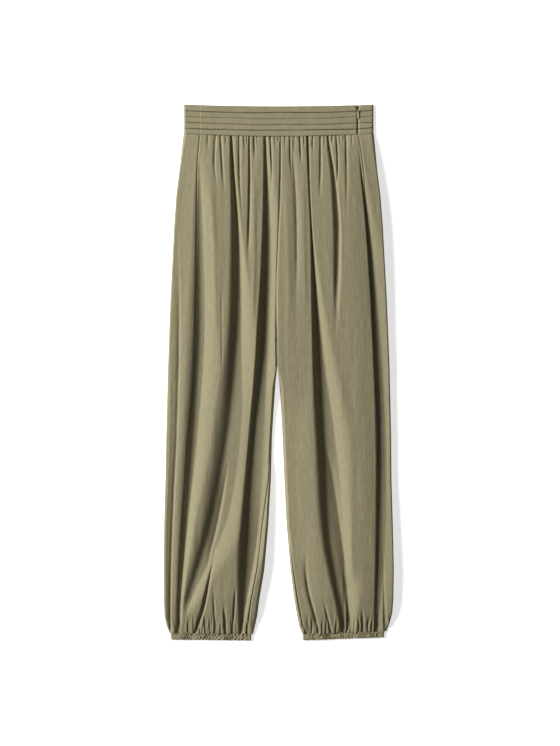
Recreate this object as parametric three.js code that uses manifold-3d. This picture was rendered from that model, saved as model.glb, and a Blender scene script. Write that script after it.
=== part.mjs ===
// Baggy trousers laid flat, face up: a tucked waistband, two gathered legs and two elasticated cuffs.
// Millimetres. X runs across the garment, Y from the hems up to the waistband, Z up off the surface
// that it lies on. The origin is the middle of the outline, on that surface. "Drop" is the distance
// down from the top of the waistband, and "right" and "left" are the wearer's own.
import * as THREE from "three";
import { mergeVertices } from "three/addons/utils/BufferGeometryUtils.js";
import Module from "manifold-3d";

// Driving dimensions
const LENGTH = 1000; // top of the waistband to the lowest corner of a hem
const CLOTH = 1.2; // wall of the legs
const BAND_CLOTH = 1.6; // wall of the waistband, which is folded cloth over interfacing
const CUFF_CLOTH = 1.8; // wall of the casing with its elastic
const SEAM_GAP = 0.36; // between two pieces that are sewn together
const FOLD_RADIUS = 3; // of the cloth where it turns under at the outline
const FLOOR = 4; // height of the bottom of the deepest troughs
const FLATTEST = CLOTH + SEAM_GAP; // lowest that the upper layer's inside comes
const STEEPEST_WALL = 3.5; // most that the wall's upright measure grows by on a slope
const CROTCH_DROP = 490;
const BAND_HALF_WIDTH = 177;
const BAND_SAG = 3.2; // the top edge dips this far between its two ends
const WAIST_SEAM_DROP = 60; // at the centre line
const WAIST_SEAM_RISE = 5; // the seam climbs this far from the centre line to the ends
const TUCK_LINES = [0, 0.22, 0.41, 0.617, 0.805, 1]; // shares of the band's height
const TUCK_HEIGHT = 1.2;
const TUCK_STEP = 0.5; // how far down the band a tuck's edge takes to fall back
const BAND_SEAM_X = -147; // where the two pieces of the band meet on the wearer's right
const ZIP_X = 147.4;
const ZIP_OPENING = 1.5; // between the two edges of the band
const ZIP_NOTCH = { depth: 11, spread: 3.2 }; // the edges spread above the slider
const SLIDER = { drop: 12.5, width: 4.4, length: 7, low: 2.6, thick: 1.3, neck: 0.8, arch: 1.6, hole: 0.85 };
const TAB = { length: 14, width: 2.8, thickness: 0.9, clear: 0.35, bar: 0.5, slot: 2.1 };

// Height of the puffed upper layer down the garment
const RISE = [
  { drop: 58, height: 7 },
  { drop: 66, height: 9.6 },
  { drop: 80, height: 13.4 },
  { drop: 105, height: 17.4 },
  { drop: 145, height: 21 },
  { drop: 210, height: 23.4 },
  { drop: 300, height: 24.2 },
  { drop: 850, height: 24.2 },
  { drop: 915, height: 21 },
  { drop: 948, height: 16.4 },
  { drop: 970, height: 11.4 },
  { drop: 990, height: 7.2 },
];

// The seam down the middle, and below the crotch the line where the legs touch
const CENTRE = [
  { drop: 0, x: 4.3 },
  { drop: 132, x: 4.1 },
  { drop: 216, x: 0.6 },
  { drop: 328, x: -4.1 },
  { drop: 440, x: -4.6 },
  { drop: 494, x: -2.7 },
  { drop: LENGTH, x: -2.7 },
];

// Sections of each leg: its outer edge, its side seam, its inner edge below the crotch, and how far
// the inseam lies in from that edge on the upper side
const RIGHT_SECTIONS = [
  { drop: 55, outer: -177, side: -146.6, inner: 0, inset: 0 },
  { drop: 85, outer: -180.8, side: -148.8, inner: 0, inset: 0 },
  { drop: 113, outer: -184, side: -151, inner: 0, inset: 0 },
  { drop: 169, outer: -191.4, side: -152.3, inner: 0, inset: 0 },
  { drop: 225, outer: -195.5, side: -152.3, inner: 0, inset: 0 },
  { drop: 365, outer: -202.6, side: -153.6, inner: 0, inset: 0 },
  { drop: 494, outer: -207.3, side: -157.4, inner: -3.2, inset: 0 },
  { drop: 533, outer: -208.2, side: -159.2, inner: -6.9, inset: 0 },
  { drop: 617, outer: -210.3, side: -167.6, inner: -12.5, inset: 0 },
  { drop: 701, outer: -211.9, side: -173.7, inner: -14.7, inset: 3 },
  { drop: 784, outer: -214.2, side: -179.1, inner: -19.4, inset: 10 },
  { drop: 868, outer: -215, side: -184.4, inner: -26.8, inset: 12 },
  { drop: 924, outer: -215, side: -187.4, inner: -36.2, inset: 13.6 },
  { drop: 952, outer: -213.8, side: -187, inner: -39.9, inset: 13.6 },
  { drop: 971, outer: -209.8, side: -184, inner: -44.2, inset: 12 },
  { drop: 990, outer: -202.6, side: -178.4, inner: -49, inset: 10 },
];
const LEFT_SECTIONS = [
  { drop: 55, outer: 177, side: 147.4, inner: 0, inset: 0 },
  { drop: 85, outer: 180, side: 152.9, inner: 0, inset: 0 },
  { drop: 132, outer: 184.8, side: 158.8, inner: 0, inset: 0 },
  { drop: 169, outer: 189.8, side: 160.9, inner: 0, inset: 0 },
  { drop: 225, outer: 194.4, side: 163.2, inner: 0, inset: 0 },
  { drop: 365, outer: 201.9, side: 173.8, inner: 0, inset: 0 },
  { drop: 494, outer: 207.2, side: 177.6, inner: -2.1, inset: 0 },
  { drop: 533, outer: 208, side: 180, inner: 2.4, inset: 0 },
  { drop: 617, outer: 209.9, side: 184.6, inner: 6.7, inset: 0 },
  { drop: 701, outer: 210.6, side: 182.2, inner: 10.4, inset: 0 },
  { drop: 784, outer: 213.1, side: 181.6, inner: 14.5, inset: 0 },
  { drop: 868, outer: 215, side: 183, inner: 22, inset: 3.2 },
  { drop: 924, outer: 214.2, side: 183.4, inner: 29.1, inset: 5.2 },
  { drop: 952, outer: 212.1, side: 185, inner: 34.1, inset: 5.5 },
  { drop: 971, outer: 206.9, side: 182, inner: 37.8, inset: 6 },
  { drop: 990, outer: 199.8, side: 176.6, inner: 44.8, inset: 7 },
];

// Troughs between the folds and gathers. Each runs from drop "from" to drop "to" through the places
// "xs", spaced evenly. "Depth" is the share of the puff's height that it takes, "left" and "right"
// are its reach to either side, fixed or changing along the run, and "grow" and "fade" are the shares
// of its run over which it sets in and dies out. A long one can hold a column of the front panel's
// points, "pin", all the way down.
const RIGHT_FOLDS = [
  // long troughs
  { from: 225, to: 985, xs: [-187.7, -190, -195.7, -204, -205], depth: 0.45, left: [15, 12, 9], right: 5,
    grow: 0.3, fade: 0 },
  { from: 58, to: 990, xs: [-148.6, -154, -157, -168.5, -182, -198], depth: 0.85,
    left: [6, 9, 11, 8, 9, 6], right: [7, 13, 12, 8, 8, 6],
    grow: 0.4, fade: 0 },
  { from: 58, to: 935, xs: [-94, -83.3, -87, -103, -129, -177], depth: 1, left: [7, 16, 14, 26, 17, 7],
    right: [7, 7, 13, 22, 22, 9],
    grow: 0, fade: 0.05, pin: 27 },
  { from: 784, to: 985, xs: [-121.5, -124.3, -134.6, -144.8, -159.7], depth: 1, left: 8, right: 7,
    grow: 0.6, fade: 0 },
  { from: 58, to: 990, xs: [-31, -29.3, -36.2, -49.2, -66.5, -77], depth: 1,
    left: [7, 7, 9.3, 16, 17.5, 7], right: [7, 15, 13, 16, 17, 7],
    grow: 0, fade: 0, pin: 7 },
  { from: 58, to: 330, xs: [-56.7, -57.8, -62.3, -64.7], depth: 0.95, left: [5, 7, 9], right: [5, 8, 9],
    grow: 0, fade: 0.5 },
  { from: 330, to: 520, xs: [-108, -107], depth: 0.2, left: 6, right: 6, grow: 0.3, fade: 0.3 },
  { from: 58, to: 420, xs: [2.4, 2, -2, -5], depth: 0.6, left: 5, right: 5, grow: 0, fade: 0.4 },
  { from: 330, to: 530, xs: [-6, -4.6, -3], depth: 0.9, left: 6, right: 6, grow: 0.6, fade: 0.1 },
  // gathers at the waist seam
  { from: 58, to: 92, xs: [-135.5, -136], depth: 0.35, left: 4, right: 4, grow: 0, fade: 0.6 },
  { from: 58, to: 165, xs: [-121.5, -123.5, -119], depth: 0.65, left: 4.5, right: 5, grow: 0, fade: 0.6 },
  { from: 58, to: 175, xs: [-112.2, -109, -105], depth: 0.75, left: 4.5, right: 6, grow: 0, fade: 0.6 },
  { from: 58, to: 84, xs: [-102, -102], depth: 0.5, left: 3.5, right: 3.5, grow: 0, fade: 0.5 },
  { from: 58, to: 230, xs: [-77.7, -76.5, -71], depth: 0.75, left: 5, right: 6, grow: 0, fade: 0.7 },
  { from: 58, to: 92, xs: [-68, -66], depth: 0.6, left: 3.5, right: 3.5, grow: 0, fade: 0.5 },
  { from: 58, to: 112, xs: [-48, -47.5], depth: 0.75, left: 3.5, right: 3.5, grow: 0, fade: 0.6 },
  { from: 58, to: 80, xs: [-41.5, -41.5], depth: 0.45, left: 3, right: 3, grow: 0, fade: 0.5 },
  { from: 58, to: 195, xs: [-18.5, -17, -20], depth: 0.75, left: 4.5, right: 5, grow: 0, fade: 0.5 },
  { from: 58, to: 84, xs: [-10.6, -10], depth: 0.45, left: 3, right: 3, grow: 0, fade: 0.5 },
  // gathers at the cuff
  { from: 950, to: 990, xs: [-189, -189], depth: 0.5, left: 3.5, right: 3.5, grow: 0.5, fade: 0 },
  { from: 955, to: 990, xs: [-171, -171.5], depth: 0.6, left: 3.5, right: 3.5, grow: 0.5, fade: 0 },
  { from: 950, to: 990, xs: [-150, -149.5], depth: 0.6, left: 3.5, right: 3.5, grow: 0.5, fade: 0 },
  { from: 945, to: 990, xs: [-140, -139], depth: 0.65, left: 4, right: 4, grow: 0.4, fade: 0 },
  { from: 955, to: 990, xs: [-130, -130], depth: 0.55, left: 3.5, right: 3.5, grow: 0.5, fade: 0 },
  { from: 885, to: 990, xs: [-124.5, -122, -120.6], depth: 0.7, left: 4.5, right: 5, grow: 0.6, fade: 0 },
  { from: 955, to: 990, xs: [-111, -110.5], depth: 0.6, left: 3.5, right: 3.5, grow: 0.5, fade: 0 },
  { from: 925, to: 990, xs: [-104, -102.5, -101], depth: 0.85, left: 4.5, right: 4.5, grow: 0.5, fade: 0 },
  { from: 890, to: 990, xs: [-82, -86, -89.5], depth: 0.9, left: 4, right: 4, grow: 0.5, fade: 0 },
  { from: 958, to: 990, xs: [-70, -69.5], depth: 0.55, left: 3, right: 3, grow: 0.5, fade: 0 },
];
const LEFT_FOLDS = [
  // long troughs
  { from: 58, to: 990, xs: [147, 162.7, 175.8, 183.2, 184, 179.5], depth: 0.9, left: 7,
    right: [22, 22, 20, 9, 6, 6], grow: 0.2, fade: 0 },
  { from: 610, to: 985, xs: [189.5, 190.5, 190.5, 193.5, 195.3], depth: 0.85, left: 5, right: 15,
    grow: 0.2, fade: 0 },
  { from: 58, to: 990, xs: [51, 57.8, 65, 75, 91, 114.3], depth: 1, left: [7, 7, 8, 16, 18, 7],
    right: [7, 7, 13, 17, 28, 8],
    grow: 0, fade: 0, pin: 16 },
  { from: 850, to: 990, xs: [113, 118.5, 121.5, 124, 126.5], depth: 0.6, left: 6, right: [15, 8],
    grow: 0.4, fade: 0 },
  { from: 822, to: 985, xs: [45.3, 45.7, 49, 61, 72], depth: 1, left: [8, 5], right: [10, 5], grow: 0.5,
    fade: 0 },
  { from: 58, to: 460, xs: [89, 98, 104.5, 102, 102, 101], depth: 0.9, left: [5, 8, 9], right: [5, 9, 10],
    grow: 0, fade: 0.6 },
  { from: 120, to: 400, xs: [24, 31, 32, 38], depth: 0.35, left: 9, right: 10, grow: 0.2, fade: 0.4 },
  { from: 58, to: 420, xs: [2.4, 2, -2, -5], depth: 0.6, left: 5, right: 5, grow: 0, fade: 0.4 },
  { from: 330, to: 530, xs: [-6, -4.6, -3], depth: 0.9, left: 6, right: 6, grow: 0.6, fade: 0.1 },
  // gathers at the waist seam
  { from: 58, to: 88, xs: [9, 9], depth: 0.4, left: 3, right: 3, grow: 0, fade: 0.5 },
  { from: 58, to: 150, xs: [18.3, 18.5, 21], depth: 0.75, left: 4, right: 4, grow: 0, fade: 0.6 },
  { from: 58, to: 100, xs: [26, 26], depth: 0.5, left: 3, right: 3, grow: 0, fade: 0.5 },
  { from: 58, to: 118, xs: [36, 38.5], depth: 0.85, left: 4, right: 4, grow: 0, fade: 0.6 },
  { from: 58, to: 84, xs: [44.5, 44.5], depth: 0.45, left: 3, right: 3, grow: 0, fade: 0.5 },
  { from: 58, to: 92, xs: [60.5, 60], depth: 0.7, left: 3.5, right: 3.5, grow: 0, fade: 0.5 },
  { from: 58, to: 185, xs: [74.2, 74, 72], depth: 0.75, left: 4.5, right: 5, grow: 0, fade: 0.5 },
  { from: 58, to: 88, xs: [81.6, 82], depth: 0.5, left: 3, right: 3, grow: 0, fade: 0.5 },
  { from: 58, to: 170, xs: [104, 106, 103.5], depth: 0.8, left: 4, right: 4.5, grow: 0, fade: 0.4 },
  { from: 58, to: 82, xs: [111.5, 112], depth: 0.55, left: 3, right: 3, grow: 0, fade: 0.5 },
  { from: 58, to: 240, xs: [121.7, 122.5, 121], depth: 0.75, left: 5, right: 6, grow: 0, fade: 0.75 },
  { from: 58, to: 86, xs: [133, 133.5], depth: 0.4, left: 3.5, right: 3.5, grow: 0, fade: 0.5 },
  // gathers at the cuff
  { from: 955, to: 990, xs: [59.5, 59.5], depth: 0.6, left: 3.5, right: 3.5, grow: 0.5, fade: 0 },
  { from: 958, to: 990, xs: [79, 79], depth: 0.6, left: 3.5, right: 3.5, grow: 0.5, fade: 0 },
  { from: 955, to: 990, xs: [86.5, 86.5], depth: 0.6, left: 3.5, right: 3.5, grow: 0.5, fade: 0 },
  { from: 915, to: 990, xs: [81, 88, 95.6], depth: 0.8, left: 4.5, right: 5, grow: 0.6, fade: 0 },
  { from: 958, to: 990, xs: [105, 105], depth: 0.6, left: 3.5, right: 3.5, grow: 0.5, fade: 0 },
  { from: 945, to: 990, xs: [138.5, 138.5], depth: 0.65, left: 4, right: 4, grow: 0.5, fade: 0 },
  { from: 958, to: 990, xs: [147, 147], depth: 0.6, left: 3.5, right: 3.5, grow: 0.5, fade: 0 },
  { from: 905, to: 990, xs: [150, 154, 154.5], depth: 0.9, left: 4, right: 5, grow: 0.5, fade: 0 },
  { from: 955, to: 990, xs: [164, 164], depth: 0.6, left: 3.5, right: 3.5, grow: 0.5, fade: 0 },
  { from: 955, to: 990, xs: [172.5, 172.5], depth: 0.6, left: 3.5, right: 3.5, grow: 0.5, fade: 0 },
];

// The four panels of the legs share these levels, so that their faceted edges match
const LEVELS = [60, 66, 76, 92, 116, 150, 195, 250, 315, 385, 445, CROTCH_DROP, 515, 565, 640, 720,
  795, 855, 905, 940, 960, 975, 986];
const FRONT_COLUMNS = 40;
const PIN_ROOM = 0.006; // least share of a panel's width for each column past a held one

const RIGHT = {
  name: "right", out: -1, sections: RIGHT_SECTIONS, folds: RIGHT_FOLDS,
  hem: { outerTop: 987, innerTop: 988.5, outerEnd: 998.5, innerEnd: LENGTH, outer: -201.7, inner: -50.7 },
};
const LEFT = {
  name: "left", out: 1, sections: LEFT_SECTIONS, folds: LEFT_FOLDS,
  hem: { outerTop: 983, innerTop: 988.5, outerEnd: 994.2, innerEnd: LENGTH, outer: 197.5, inner: 44.5 },
};

const clamp = (value) => Math.min(1, Math.max(0, value));
const mix = (a, b, share) => a + (b - a) * share;
const smooth = (share) => clamp(share) ** 2 * (3 - 2 * clamp(share));
const range = (count) => Array.from({ length: count }, (_, i) => i);

// A table's column at a drop, straight between its rows
function column(table, key, drop) {
  const below = table.findIndex((row) => row.drop >= drop);
  if (below <= 0) return table[below < 0 ? table.length - 1 : 0][key];
  const [a, b] = [table[below - 1], table[below]];
  return mix(a[key], b[key], (drop - a.drop) / (b.drop - a.drop));
}

// A smooth curve through evenly spaced values
function through(values, share) {
  const last = values.length - 1;
  const at = clamp(share) * last;
  const i = Math.min(last - 1, Math.floor(at));
  const t = at - i;
  const p = [i - 1, i, i + 1, i + 2].map((k) => values[Math.min(last, Math.max(0, k))]);
  const bend = (p[0] - p[2]) * -0.5;
  const bow = (p[1] - p[3]) * -0.5;
  const t2 = t * t;
  const t3 = t2 * t;
  return (2 * t3 - 3 * t2 + 1) * p[1] + (t3 - 2 * t2 + t) * bend + (3 * t2 - 2 * t3) * p[2] + (t3 - t2) * bow;
}

const foldShare = (fold, drop) => (drop - fold.from) / (fold.to - fold.from);
const foldPlace = (fold, drop) => through(fold.xs, foldShare(fold, drop));
const reachAlong = (reach, share) => (Array.isArray(reach) ? through(reach, share) : reach);

// How deep a trough is at a point, as a share of the puff's height
function troughDepth(fold, x, drop) {
  const share = foldShare(fold, drop);
  if (share < 0 || share > 1) return 0;
  const away = x - foldPlace(fold, drop);
  const reach = reachAlong(away < 0 ? fold.left : fold.right, share);
  if (Math.abs(away) >= reach) return 0;
  const setIn = fold.grow ? smooth(share / fold.grow) : 1;
  const dieOut = fold.fade ? smooth((1 - share) / fold.fade) : 1;
  return fold.depth * setIn * dieOut * 0.5 * (1 + Math.cos((Math.PI * away) / reach));
}

// The outline's inner edge of a leg: the centre seam down to the crotch, then the leg's own edge
const innerEdge = (leg, drop) =>
  drop <= CROTCH_DROP ? column(CENTRE, "x", drop) : column(leg.sections, "inner", drop);

// Height of the upper layer's outer face
function height(leg, x, drop) {
  const rise = column(RISE, "height", drop);
  const edge = 2 * FOLD_RADIUS;
  const outerIn = (column(leg.sections, "outer", drop) - x) * leg.out - FOLD_RADIUS;
  const innerIn = (x - innerEdge(leg, drop)) * leg.out - FOLD_RADIUS;
  const parted = smooth((drop - CROTCH_DROP) / 110);
  const puff = smooth(0.12 + outerIn / 26) * mix(1, smooth(0.25 + innerIn / 20), parted);
  const crown = edge + Math.max(0, rise - edge) * puff;
  const power = 4;
  const taken = leg.folds.reduce((sum, fold) => sum + troughDepth(fold, x, drop) ** power, 0) ** (1 / power);
  return crown - (crown - FLOOR) * Math.min(1, taken);
}

// Curve of the waist seam, and tilt of the hem, carried into the levels near them
function dropAt(leg, level, x) {
  const climb = -WAIST_SEAM_RISE * (x / BAND_HALF_WIDTH) ** 2 * clamp((200 - level) / 140);
  const { outer, inner, outerTop, innerTop } = leg.hem;
  const hemTop = mix(outerTop, innerTop, clamp((x - outer) / (inner - outer)));
  const last = LEVELS.at(-1);
  const tilt = (hemTop - SEAM_GAP - last) * clamp((level - 880) / (last - 880));
  return level + climb + tilt;
}

const place = (x, drop, z) => new THREE.Vector3(x, LENGTH / 2 - drop, z);

// A point of the upper layer: its outer face and, a wall's thickness below, its inner one
function upperPoint(leg, level, x) {
  const z = height(leg, x, level);
  const slope = (height(leg, x + 0.6, level) - height(leg, x - 0.6, level)) / 1.2;
  const wall = CLOTH * Math.min(STEEPEST_WALL, Math.hypot(1, slope));
  const drop = dropAt(leg, level, x);
  return { outer: place(x, drop, z), inner: place(x, drop, Math.max(FLATTEST, z - wall)) };
}

// A point of a turned edge, from its underside (-90 degrees) round to its top (90)
function edgePoint(drop, edge, out, degrees, radius, wall, lift = 0) {
  const angle = THREE.MathUtils.degToRad(degrees);
  const ring = (r) => place(edge - out * radius + out * r * Math.cos(angle), drop,
    radius + r * Math.sin(angle) + lift);
  return { outer: ring(radius), inner: ring(radius - wall) };
}

const lowerPoint = (x, drop, wall) => ({ outer: place(x, drop, 0), inner: place(x, drop, wall) });

// Shares across a panel for its columns: the long troughs keep their own columns, and the gathers
// that are given take the nearest ones left
function columnShares(leg, level, gathers) {
  const { inner, side } = frontEnds(leg, level);
  const room = (fold) => 1 - PIN_ROOM * (FRONT_COLUMNS - (fold.pin ?? FRONT_COLUMNS));
  const share = (fold) => Math.min(room(fold), (foldPlace(fold, level) - inner) / (side - inner));
  const pins = new Map([[0, 0], [FRONT_COLUMNS, 1]]);
  leg.folds.filter((fold) => fold.pin).forEach((fold) => pins.set(fold.pin, share(fold)));
  const between = (index) => {
    const known = [...pins.keys()].sort((a, b) => a - b);
    const next = known.findIndex((pin) => pin >= index);
    if (known[next] === index) return pins.get(index);
    const [a, b] = [known[next - 1], known[next]];
    return mix(pins.get(a), pins.get(b), (index - a) / (b - a));
  };
  const plain = range(FRONT_COLUMNS + 1).map(between);
  for (const fold of gathers) {
    const at = share(fold);
    const index = plain.findIndex((s) => s >= at);
    const nearest = index > 0 && at - plain[index - 1] < plain[index] - at ? index - 1 : index;
    if (nearest > 0 && !pins.has(nearest)) pins.set(nearest, at);
  }
  return range(FRONT_COLUMNS + 1).map(between);
}

// Where a leg's front panel begins and ends at a level
function frontEnds(leg, level) {
  const side = column(leg.sections, "side", level) - (leg.out * SEAM_GAP) / 2;
  const edge = innerEdge(leg, level);
  const inset = column(leg.sections, "inset", level);
  const within = level > CROTCH_DROP ? FOLD_RADIUS + inset : 0;
  return { side, inner: edge + leg.out * (within + SEAM_GAP / 2) };
}

// Below the crotch the inseam lies round the inner edge until it comes out on the upper side
const inseamOnTop = (leg, level) => column(leg.sections, "inset", level) > 0.5;
const INSEAM_ANGLE = 15;
const GAP_ANGLE = THREE.MathUtils.radToDeg(SEAM_GAP / (FOLD_RADIUS - CLOTH));

function frontRows(leg) {
  const gathersAt = (level) => leg.folds.filter((fold) => !fold.pin && fold.from <= level
    && fold.to >= level);
  const waistGathers = gathersAt(LEVELS[0]);
  const hemGathers = gathersAt(LEVELS.at(-1));
  return LEVELS.map((level) => {
    const { inner, side } = frontEnds(leg, level);
    const even = columnShares(leg, level, []);
    const waist = columnShares(leg, level, waistGathers);
    const hem = columnShares(leg, level, hemGathers);
    const nearWaist = 1 - smooth((level - 170) / 200);
    const nearHem = smooth((level - 820) / 100);
    return range(FRONT_COLUMNS + 1).map((index) => {
      const share = even[index] + (waist[index] - even[index]) * nearWaist
        + (hem[index] - even[index]) * nearHem;
      if (index === 0 && level > CROTCH_DROP && !inseamOnTop(leg, level))
        return edgePoint(dropAt(leg, level, inner), innerEdge(leg, level), -leg.out,
          INSEAM_ANGLE + GAP_ANGLE, FOLD_RADIUS, CLOTH);
      return upperPoint(leg, level, mix(inner, side, share));
    });
  });
}

const EDGE_ANGLES = [60, 20, -20, -60, -90];
const SIDE_STRIP_COLUMNS = 5;
const UNDER_COLUMNS = 3;
const INSEAM_STRIP_COLUMNS = 2;
const CENTRE_BACK_MARGIN = 14; // width of the under columns that turn up below the crotch

function backRow(leg, level) {
  const side = column(leg.sections, "side", level) + (leg.out * SEAM_GAP) / 2;
  const outer = column(leg.sections, "outer", level);
  const inner = innerEdge(leg, level);
  const outerTop = outer - leg.out * FOLD_RADIUS;
  const strip = range(SIDE_STRIP_COLUMNS + 1).map((i) => upperPoint(leg, level,
    mix(side, outerTop, i / SIDE_STRIP_COLUMNS)));
  const turn = EDGE_ANGLES.map((angle) => edgePoint(dropAt(leg, level, outer), outer, leg.out, angle,
    FOLD_RADIUS, CLOTH));
  const turned = level > CROTCH_DROP;
  const underEnd = turned ? inner + leg.out * FOLD_RADIUS : inner + leg.out * CENTRE_BACK_MARGIN;
  const flat = (x) => lowerPoint(x, dropAt(leg, level, x), CLOTH);
  const under = range(UNDER_COLUMNS).map((i) => flat(mix(outerTop, underEnd, (i + 1) / UNDER_COLUMNS)));
  const rest = EDGE_ANGLES.length - 1 + INSEAM_STRIP_COLUMNS;
  if (!turned) {
    const end = inner + (leg.out * SEAM_GAP) / 2;
    const level0 = range(rest).map((i) => flat(mix(underEnd, end, (i + 1) / rest)));
    return [...strip, ...turn, ...under, ...level0];
  }
  const onTop = inseamOnTop(leg, level);
  const lastAngle = onTop ? 90 : INSEAM_ANGLE;
  const inset = column(leg.sections, "inset", level);
  const turns = onTop ? rest - INSEAM_STRIP_COLUMNS : rest;
  const back = range(turns).map((i) =>
    edgePoint(dropAt(leg, level, inner), inner, -leg.out, mix(-90, lastAngle, (i + 1) / turns),
      FOLD_RADIUS, CLOTH));
  if (!onTop) return [...strip, ...turn, ...under, ...back];
  const [from, to] = [inner + leg.out * FOLD_RADIUS, inner + leg.out * (FOLD_RADIUS + inset - SEAM_GAP / 2)];
  const lap = range(INSEAM_STRIP_COLUMNS).map((i) => upperPoint(leg, level,
    mix(from, to, (i + 1) / INSEAM_STRIP_COLUMNS)));
  return [...strip, ...turn, ...under, ...back, ...lap];
}

// A closed wall from rows of points, each with an outer and an inner face. Rings close on themselves.
function wallGeometry(rows, ring = false) {
  const wide = rows[0].length;
  const points = rows.flatMap((row) => row.map((p) => p.outer))
    .concat(rows.flatMap((row) => row.map((p) => p.inner)));
  const inside = rows.length * wide;
  const faces = [];
  const quad = (a, b, c, d) => faces.push([a, b, c], [a, c, d]);
  const columns = ring ? wide : wide - 1;
  const next = (c) => (c + 1) % wide;
  for (const r of range(rows.length - 1))
    for (const c of range(columns)) {
      const [a, b, d, e] = [r * wide + c, r * wide + next(c), (r + 1) * wide + c, (r + 1) * wide + next(c)];
      quad(a, d, e, b);
      quad(inside + a, inside + b, inside + e, inside + d);
    }
  for (const c of range(columns)) {
    const last = (rows.length - 1) * wide;
    quad(c, next(c), inside + next(c), inside + c);
    quad(last + c, inside + last + c, inside + last + next(c), last + next(c));
  }
  if (!ring)
    for (const r of range(rows.length - 1)) {
      const [a, b] = [r * wide, (r + 1) * wide];
      quad(a, inside + a, inside + b, b);
      quad(a + wide - 1, b + wide - 1, inside + b + wide - 1, inside + a + wide - 1);
    }
  const volume = faces.reduce((sum, [a, b, c]) => sum + points[a].dot(points[b].clone().cross(points[c])), 0);
  const outward = volume > 0 ? faces : faces.map(([a, b, c]) => [a, c, b]);
  const geometry = new THREE.BufferGeometry().setFromPoints(points);
  geometry.setIndex(outward.flat());
  geometry.computeVertexNormals();
  return geometry;
}

// Waistband: the tucks overlap downwards, each one standing out most at its lower edge
const bandTop = (x) => BAND_SAG * (1 - (x / BAND_HALF_WIDTH) ** 2);
const bandEnd = (x) => WAIST_SEAM_DROP - WAIST_SEAM_RISE * (x / BAND_HALF_WIDTH) ** 2 - SEAM_GAP;
const BAND_LEVELS = TUCK_LINES.slice(0, -1).flatMap((line, i) => [
  { line, raised: 0, shift: i ? TUCK_STEP : 0 },
  { line: TUCK_LINES[i + 1], raised: 1, shift: 0 },
]);

// The height shift keeps the back band's turned edges plain
function bandPoint(level, x, lifted = 1) {
  const drop = mix(bandTop(x), bandEnd(x), level.line) + level.shift;
  const z = 2 * FOLD_RADIUS + TUCK_HEIGHT * level.raised * lifted;
  return { outer: place(x, drop, z), inner: place(x, drop, 2 * FOLD_RADIUS - BAND_CLOTH) };
}

// The band's edges at the zip stand apart, and spread above the slider
function zipEdge(level, side) {
  const drop = mix(bandTop(ZIP_X), bandEnd(ZIP_X), level.line);
  return ZIP_X + side * (ZIP_OPENING / 2 + ZIP_NOTCH.spread * clamp(1 - drop / ZIP_NOTCH.depth));
}

const FRONT_BAND_COLUMNS = 16;
const frontBandRows = () =>
  BAND_LEVELS.map((level) =>
    range(FRONT_BAND_COLUMNS + 1).map((i) =>
      bandPoint(level, mix(BAND_SEAM_X + SEAM_GAP / 2, zipEdge(level, -1), i / FRONT_BAND_COLUMNS))));

function backBandRows() {
  return BAND_LEVELS.map((level) => {
    const flatEdge = BAND_HALF_WIDTH - FOLD_RADIUS;
    const dropOf = (x) => mix(bandTop(x), bandEnd(x), level.line) + level.shift;
    const strip = (from, to) => [0, 0.5, 1].map((s) => bandPoint(level, mix(from, to, s), 1));
    const turn = (out, angles) =>
      angles.map((a) => edgePoint(dropOf(out * BAND_HALF_WIDTH), out * BAND_HALF_WIDTH, out, a,
        FOLD_RADIUS, BAND_CLOTH));
    const under = [0.2, 0.4, 0.6, 0.8].map((s) => {
      const x = mix(-flatEdge, flatEdge, s);
      return lowerPoint(x, dropOf(x), BAND_CLOTH);
    });
    return [
      ...strip(BAND_SEAM_X - SEAM_GAP / 2, -flatEdge),
      ...turn(-1, EDGE_ANGLES),
      ...under,
      ...turn(1, [...EDGE_ANGLES].reverse()),
      ...strip(flatEdge, zipEdge(level, 1)),
    ];
  });
}

// Cuff: a ring of casing over elastic, puckered on its upper side
const CUFF_TOP_COLUMNS = 32;
const CUFF_WAVES = 16;
const CUFF_LEVELS = [{ share: 0, wave: 0.5 }, { share: 0.4, wave: 0.9 }, { share: 0.75, wave: 0.4 },
  { share: 1, wave: 0.25 }];

function cuffRows({ hem, out }) {
  const { outer, inner, outerTop, innerTop, outerEnd, innerEnd } = hem;
  const across = (x) => clamp((x - outer) / (inner - outer));
  return CUFF_LEVELS.map(({ share, wave }) => {
    const narrow = 0.8 * share;
    const [a, b] = [outer - out * narrow, inner + out * narrow];
    const dropOf = (x) => mix(mix(outerTop, innerTop, across(x)), mix(outerEnd, innerEnd, across(x)), share);
    const [from, to] = [a - out * FOLD_RADIUS, b + out * FOLD_RADIUS];
    const top = range(CUFF_TOP_COLUMNS + 1).map((i) => {
      const s = i / CUFF_TOP_COLUMNS;
      const x = mix(from, to, s);
      const calm = Math.min(1, 12 * s, 12 * (1 - s));
      const z = 2 * FOLD_RADIUS + wave * calm * (Math.cos(2 * Math.PI * CUFF_WAVES * s)
        + 0.35 * Math.sin(11 * s));
      return { outer: place(x, dropOf(x), z), inner: place(x, dropOf(x), z - CUFF_CLOTH) };
    });
    const innerTurn = EDGE_ANGLES.map((t) => edgePoint(dropOf(b), b, -out, t, FOLD_RADIUS, CUFF_CLOTH));
    const outerTurn = [...EDGE_ANGLES].reverse()
      .map((t) => edgePoint(dropOf(a), a, out, t, FOLD_RADIUS, CUFF_CLOTH));
    const under = [0.25, 0.5, 0.75].map((s) => lowerPoint(mix(to, from, s), dropOf(mix(to, from, s)),
      CUFF_CLOTH));
    return [...top, ...innerTurn, ...under, ...outerTurn];
  });
}

// Zip: a slider below the notch, its body behind the band's edges and its bail standing between
// them, and a pull tab that hangs on the bail by a crossbar
const wasm = await Module();
wasm.setup();

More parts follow.
